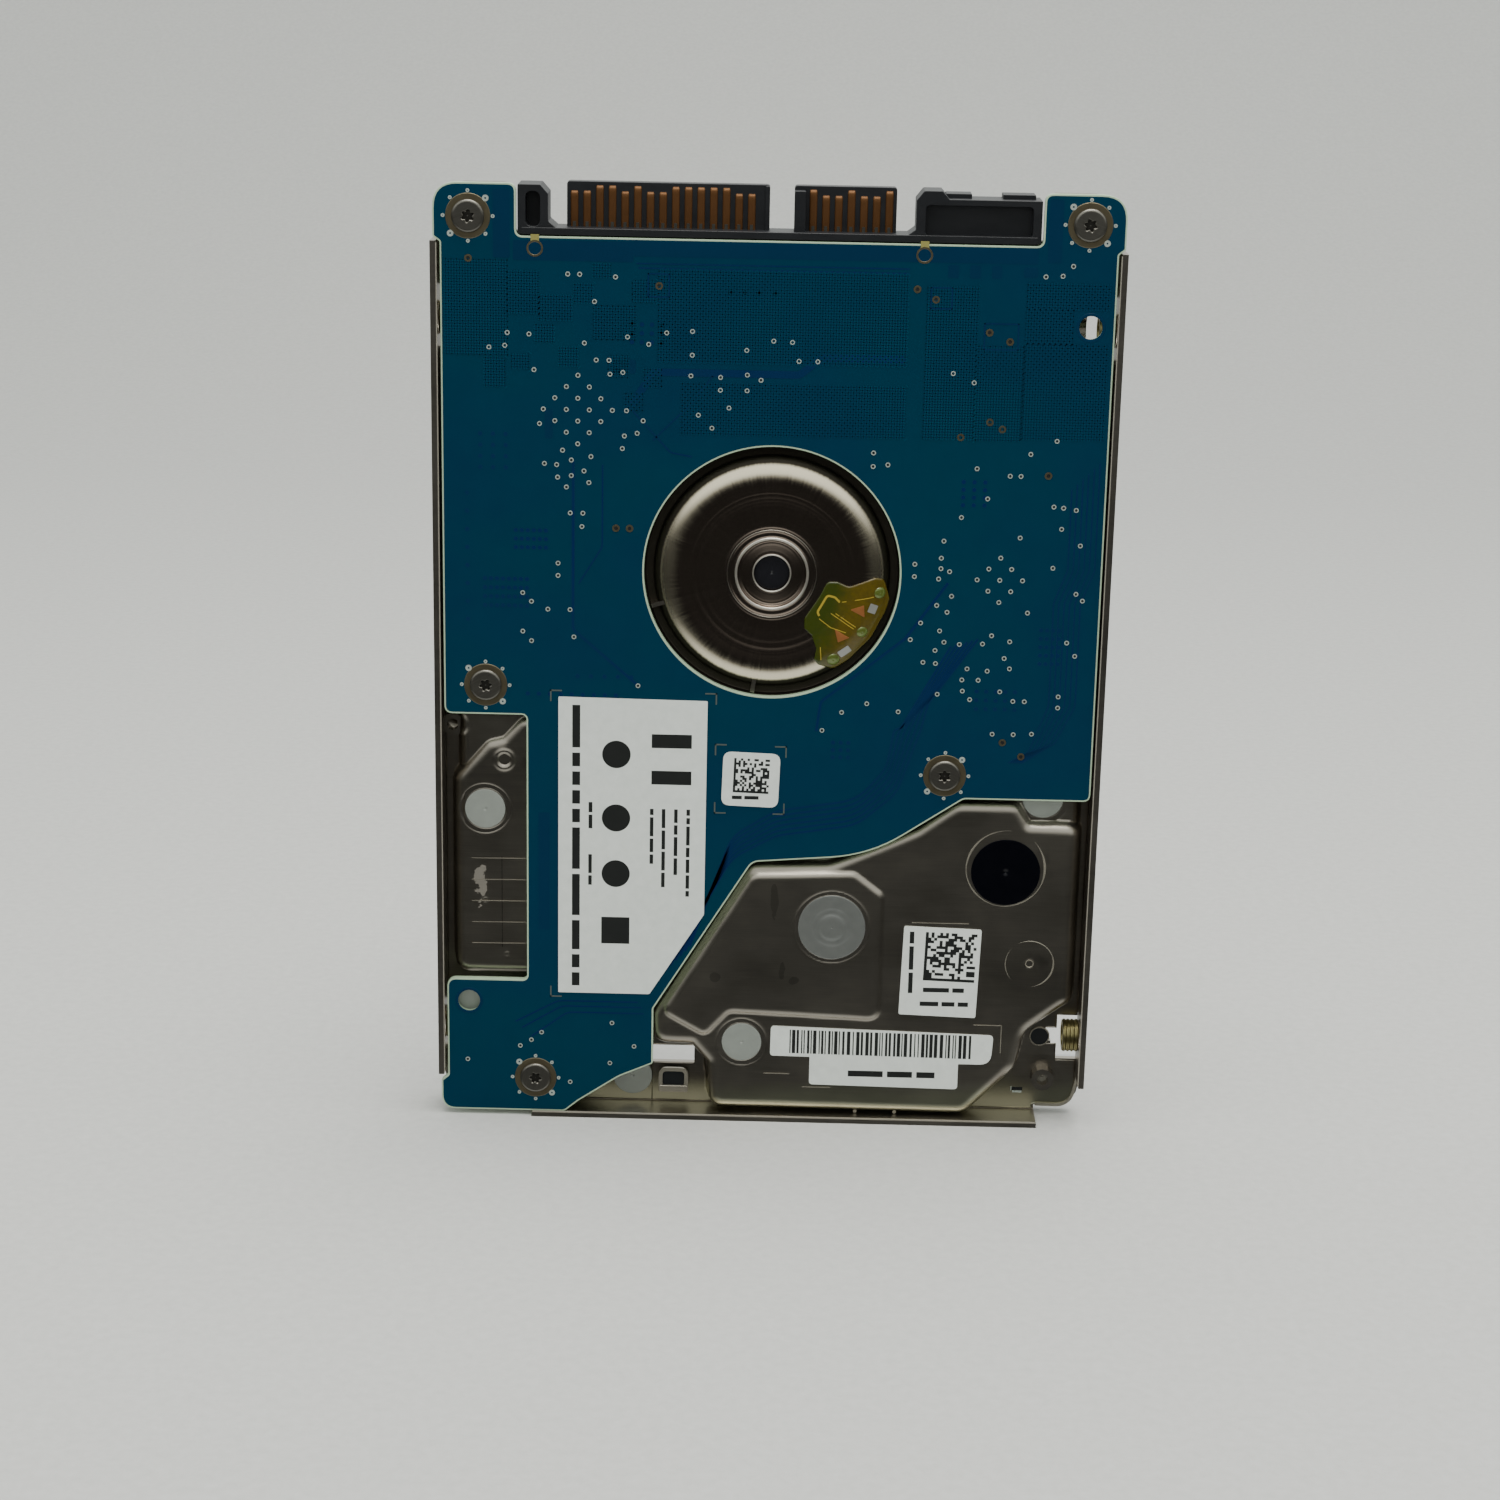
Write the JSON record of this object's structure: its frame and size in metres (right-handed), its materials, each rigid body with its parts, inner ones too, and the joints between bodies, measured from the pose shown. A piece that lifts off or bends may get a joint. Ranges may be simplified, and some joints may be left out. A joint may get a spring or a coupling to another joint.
{
  "type": "hard disk drive",
  "caption": "Slim laptop hard disk drive with a pressed steel base, teal circuit board, serial edge connector, spindle motor, platter and swinging head actuator.",
  "frame": {"origin": "middle of the far-end face, halfway through the thickness", "axes": "+X to the right seen from the board side, +Y from the board side to the cover side, +Z towards the connector end"},
  "size_m": [0.0698, 0.007, 0.1003],
  "materials": {
    "nickel_steel": "pressed nickel-plated steel sheet, satin, with brighter pressed edges",
    "cast_aluminium": "satin aluminium",
    "board_lacquer": "teal-blue solder mask, semi-gloss, with darker copper underneath",
    "screw_steel": "plain machined steel",
    "black_plastic": "moulded glass-filled plastic, fine matte",
    "contact_gold": "thin worn gold over copper alloy",
    "chip_resin": "moulded epoxy",
    "grey_foam": "open-cell foam sheet",
    "copper_winding": "enamelled copper wire",
    "mirror_disk": "polished, mirror-like",
    "magnet_nickel": "nickel-plated sintered magnet",
    "polyimide_film": "amber film over copper tracks",
    "foil_seal": "grey foil tape",
    "black_film": "glossy black film",
    "paper_label": null,
    "white_plastic": "natural engineering plastic",
    "gasket_rubber": "formed-in-place gasket",
    "nut_brass": "olive chromate-passivated nut"
  },
  "bodies": {
    "root": {"base_deck": "nickel_steel", "side_nut_left_1": "nut_brass", "side_nut_right_1": "nut_brass", "side_nut_left_2": "nut_brass", "side_nut_right_2": "nut_brass", "top_cover": "cast_aluminium", "cover_gasket": "gasket_rubber", "cover_screw_1": "screw_steel", "cover_screw_2": "screw_steel", "cover_screw_3": "screw_steel", "cover_screw_4": "screw_steel", "cover_screw_5": "screw_steel", "cover_screw_6": "screw_steel", "cover_label": "paper_label", "circuit_board": "board_lacquer", "board_screw_1": "screw_steel", "board_screw_2": "screw_steel", "board_screw_3": "screw_steel", "board_screw_4": "screw_steel", "board_screw_5": "screw_steel", "sata_connector": "black_plastic", "power_contacts": "contact_gold", "signal_contacts": "contact_gold", "spindle_bearing_sleeve": "screw_steel", "bearing_end_plug": "black_plastic", "motor_stator": "copper_winding", "pivot_post": "screw_steel", "yoke_board_side": "screw_steel", "yoke_cover_side": "screw_steel", "voice_coil_magnet": "magnet_nickel", "load_ramp": "white_plastic", "latch_pin": "screw_steel", "flex_bracket": "black_plastic", "actuator_flex": "polyimide_film", "recirculation_filter": "white_plastic", "breather_filter": "white_plastic", "controller_chip": "chip_resin", "memory_chip": "chip_resin", "motor_driver_chip": "chip_resin", "board_foam": "grey_foam", "pivot_seal": "foil_seal", "vent_seal": "black_film", "hole_seal_1": "foil_seal", "hole_seal_2": "foil_seal", "hole_seal_3": "foil_seal", "motor_flex": "polyimide_film"},
    "spindle": {"spindle_shaft": "screw_steel", "spindle_hub": "cast_aluminium", "rotor_magnet_ring": "magnet_nickel", "platter": "mirror_disk", "disk_clamp": "screw_steel", "clamp_screw": "screw_steel"},
    "actuator": {"pivot_bearing_sleeve": "screw_steel", "actuator_arm": "cast_aluminium", "voice_coil": "copper_winding", "suspension_board_side": "screw_steel", "suspension_cover_side": "screw_steel", "slider_board_side": "chip_resin", "slider_cover_side": "chip_resin"},
    "latch": {"latch": "black_plastic"}
  },
  "joints": [
    {"name": "spindle_spin", "type": "hinge", "parent": "root", "child": "spindle", "pos_m": [0, 0, 0.0609], "axis": [0, -1, 0], "continuous": true},
    {"name": "actuator_swing", "type": "hinge", "parent": "root", "child": "actuator", "pos_m": [0.0072, 0, 0.0224], "axis": [0, -1, 0], "range_deg": [0, 35]},
    {"name": "latch_pivot", "type": "hinge", "parent": "root", "child": "latch", "pos_m": [-0.012, 0, 0.022], "axis": [0, -1, 0], "range_deg": [0, 12]}
  ]
}
